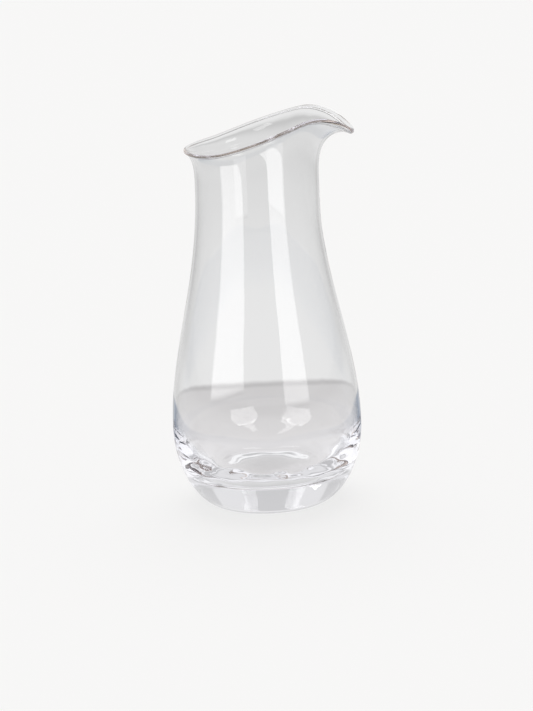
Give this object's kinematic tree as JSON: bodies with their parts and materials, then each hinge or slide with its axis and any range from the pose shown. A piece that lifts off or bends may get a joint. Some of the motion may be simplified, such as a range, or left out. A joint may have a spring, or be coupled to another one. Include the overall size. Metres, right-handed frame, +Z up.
{
  "type": "glass pitcher",
  "caption": "Clear glass pitcher without a handle: heavy rounded base, pear-shaped body, waisted neck to grip, and a slanted flared mouth drawn into a pouring spout.",
  "frame": {"origin": "on the pitcher's axis, at the level of the surface that it stands on", "axes": "+Z up along the axis, +X towards the spout, +Y to the left when looking along the spout"},
  "size_m": [0.1185, 0.1158, 0.2399],
  "materials": {
    "clear_glass": "clear, fire-polished, faint cool tint in the thick base and lip"
  },
  "bodies": {
    "root": {"glass_pitcher": "clear_glass"}
  },
  "joints": []
}
